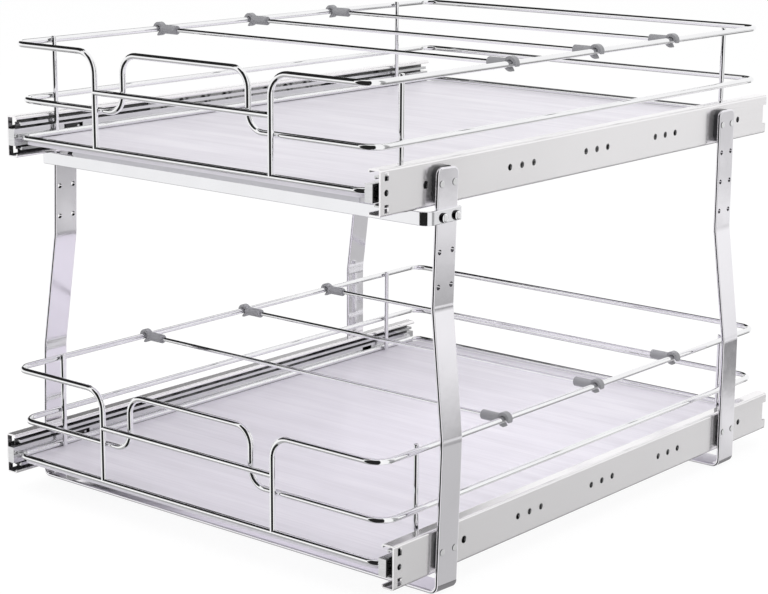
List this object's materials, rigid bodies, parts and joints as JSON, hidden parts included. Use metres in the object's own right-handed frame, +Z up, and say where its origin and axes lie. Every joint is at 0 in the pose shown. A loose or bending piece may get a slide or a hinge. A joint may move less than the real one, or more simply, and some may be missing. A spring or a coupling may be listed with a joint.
{
  "type": "pull out cabinet basket",
  "caption": "Free-standing pull-out organiser for a base cabinet: wire baskets with solid floors and sliding dividers on full-extension ball slides in a strap frame.",
  "frame": {"origin": "on the floor, under the middle of the whole assembly's width and depth with both baskets pushed in", "axes": "+X to the right seen from the front, +Y from the front to the back of the cabinet (baskets pull out towards -Y), +Z up"},
  "size_m": [0.4474, 0.5536, 0.3959],
  "materials": {
    "chrome_wire": "bright chrome plating on round steel wire",
    "chrome_strap": "bright chrome plating on flat steel strap",
    "slide_steel": "satin zinc plating on cold-rolled sheet",
    "bearing_steel": "ground steel balls in a thin sheet retainer",
    "fastener_steel": "plated fasteners",
    "clip_plastic": "moulded, slight sheen",
    "spacer_plastic": "moulded, dark grey, slight sheen",
    "lever_plastic": "moulded, black",
    "floor_board": "light grey laminate with a faint linear grain",
    "grey_plate": "satin grey"
  },
  "bodies": {
    "frame": {"front_leg_frame": "chrome_strap", "rear_leg_frame": "chrome_strap", "front_brace": "chrome_strap", "brace_bolts": "fastener_steel", "slide_spacers": "spacer_plastic", "slide_screws": "fastener_steel", "upper_left_outer_channel": "slide_steel", "upper_right_outer_channel": "slide_steel", "lower_left_outer_channel": "slide_steel", "lower_right_outer_channel": "slide_steel"},
    "upper_basket": {"upper_base_loop": "chrome_wire", "upper_middle_loop": "chrome_wire", "upper_top_loop": "chrome_wire", "upper_crossbar": "chrome_wire", "upper_posts": "chrome_wire", "upper_floor_panel": "floor_board", "upper_front_plate": "grey_plate", "upper_slide_tabs": "slide_steel", "upper_tab_screws": "fastener_steel", "upper_left_inner_member": "slide_steel", "upper_right_inner_member": "slide_steel"},
    "upper_middle_members": {"upper_left_middle_member": "slide_steel", "upper_right_middle_member": "slide_steel"},
    "upper_outer_cages": {"upper_left_outer_cage": "bearing_steel", "upper_right_outer_cage": "bearing_steel"},
    "upper_inner_cages": {"upper_left_inner_cage": "bearing_steel", "upper_right_inner_cage": "bearing_steel"},
    "upper_divider_1": {"upper_divider_1_rod": "chrome_wire", "upper_divider_1_clips": "clip_plastic"},
    "upper_divider_2": {"upper_divider_2_rod": "chrome_wire", "upper_divider_2_clips": "clip_plastic"},
    "upper_divider_3": {"upper_divider_3_rod": "chrome_wire", "upper_divider_3_clips": "clip_plastic"},
    "upper_left_release_lever": {"upper_left_release_lever": "lever_plastic"},
    "upper_right_release_lever": {"upper_right_release_lever": "lever_plastic"},
    "lower_basket": {"lower_base_loop": "chrome_wire", "lower_middle_loop": "chrome_wire", "lower_top_loop": "chrome_wire", "lower_crossbar": "chrome_wire", "lower_posts": "chrome_wire", "lower_floor_panel": "floor_board", "lower_front_plate": "grey_plate", "lower_slide_tabs": "slide_steel", "lower_tab_screws": "fastener_steel", "lower_left_inner_member": "slide_steel", "lower_right_inner_member": "slide_steel"},
    "lower_middle_members": {"lower_left_middle_member": "slide_steel", "lower_right_middle_member": "slide_steel"},
    "lower_outer_cages": {"lower_left_outer_cage": "bearing_steel", "lower_right_outer_cage": "bearing_steel"},
    "lower_inner_cages": {"lower_left_inner_cage": "bearing_steel", "lower_right_inner_cage": "bearing_steel"},
    "lower_divider_1": {"lower_divider_1_rod": "chrome_wire", "lower_divider_1_clips": "clip_plastic"},
    "lower_divider_2": {"lower_divider_2_rod": "chrome_wire", "lower_divider_2_clips": "clip_plastic"},
    "lower_divider_3": {"lower_divider_3_rod": "chrome_wire", "lower_divider_3_clips": "clip_plastic"},
    "lower_left_release_lever": {"lower_left_release_lever": "lever_plastic"},
    "lower_right_release_lever": {"lower_right_release_lever": "lever_plastic"}
  },
  "joints": [
    {"name": "upper_basket_slide", "type": "slide", "parent": "frame", "child": "upper_basket", "axis": [0, -1, 0], "range_m": [0, 0.54]},
    {"name": "upper_middle_members_slide", "type": "slide", "parent": "frame", "child": "upper_middle_members", "axis": [0, -1, 0], "range_m": [0, 0.2705]},
    {"name": "upper_outer_cages_slide", "type": "slide", "parent": "frame", "child": "upper_outer_cages", "axis": [0, -1, 0], "range_m": [0, 0.1355]},
    {"name": "upper_inner_cages_slide", "type": "slide", "parent": "frame", "child": "upper_inner_cages", "axis": [0, -1, 0], "range_m": [0, 0.4055]},
    {"name": "upper_divider_1_slide", "type": "slide", "parent": "upper_basket", "child": "upper_divider_1", "axis": [0, 1, 0], "range_m": [-0.11, 0.045]},
    {"name": "upper_divider_2_slide", "type": "slide", "parent": "upper_basket", "child": "upper_divider_2", "axis": [0, 1, 0], "range_m": [-0.05, 0.05]},
    {"name": "upper_divider_3_slide", "type": "slide", "parent": "upper_basket", "child": "upper_divider_3", "axis": [0, 1, 0], "range_m": [-0.044, 0.078]},
    {"name": "upper_left_release_hinge", "type": "hinge", "parent": "upper_basket", "child": "upper_left_release_lever", "pos_m": [-0.19225, -0.20575, 0.3146], "axis": [1, 0, 0], "range_deg": [0, 8], "stiffness_Nm_per_rad": 0.01},
    {"name": "upper_right_release_hinge", "type": "hinge", "parent": "upper_basket", "child": "upper_right_release_lever", "pos_m": [0.19225, -0.20575, 0.3146], "axis": [1, 0, 0], "range_deg": [0, 8], "stiffness_Nm_per_rad": 0.01},
    {"name": "lower_basket_slide", "type": "slide", "parent": "frame", "child": "lower_basket", "axis": [0, -1, 0], "range_m": [0, 0.54]},
    {"name": "lower_middle_members_slide", "type": "slide", "parent": "frame", "child": "lower_middle_members", "axis": [0, -1, 0], "range_m": [0, 0.2705]},
    {"name": "lower_outer_cages_slide", "type": "slide", "parent": "frame", "child": "lower_outer_cages", "axis": [0, -1, 0], "range_m": [0, 0.1355]},
    {"name": "lower_inner_cages_slide", "type": "slide", "parent": "frame", "child": "lower_inner_cages", "axis": [0, -1, 0], "range_m": [0, 0.4055]},
    {"name": "lower_divider_1_slide", "type": "slide", "parent": "lower_basket", "child": "lower_divider_1", "axis": [0, 1, 0], "range_m": [-0.088, 0.06]},
    {"name": "lower_divider_2_slide", "type": "slide", "parent": "lower_basket", "child": "lower_divider_2", "axis": [0, 1, 0], "range_m": [-0.05, 0.05]},
    {"name": "lower_divider_3_slide", "type": "slide", "parent": "lower_basket", "child": "lower_divider_3", "axis": [0, 1, 0], "range_m": [-0.05, 0.073]},
    {"name": "lower_left_release_hinge", "type": "hinge", "parent": "lower_basket", "child": "lower_left_release_lever", "pos_m": [-0.20745, -0.19375, 0.0355], "axis": [1, 0, 0], "range_deg": [0, 8], "stiffness_Nm_per_rad": 0.01},
    {"name": "lower_right_release_hinge", "type": "hinge", "parent": "lower_basket", "child": "lower_right_release_lever", "pos_m": [0.20745, -0.19375, 0.0355], "axis": [1, 0, 0], "range_deg": [0, 8], "stiffness_Nm_per_rad": 0.01}
  ],
  "couplings": [
    {"joint": "upper_middle_members_slide", "follows": "upper_basket_slide", "ratio": 0.5},
    {"joint": "upper_outer_cages_slide", "follows": "upper_basket_slide", "ratio": 0.25},
    {"joint": "upper_inner_cages_slide", "follows": "upper_basket_slide", "ratio": 0.75},
    {"joint": "lower_middle_members_slide", "follows": "lower_basket_slide", "ratio": 0.5},
    {"joint": "lower_outer_cages_slide", "follows": "lower_basket_slide", "ratio": 0.25},
    {"joint": "lower_inner_cages_slide", "follows": "lower_basket_slide", "ratio": 0.75}
  ]
}
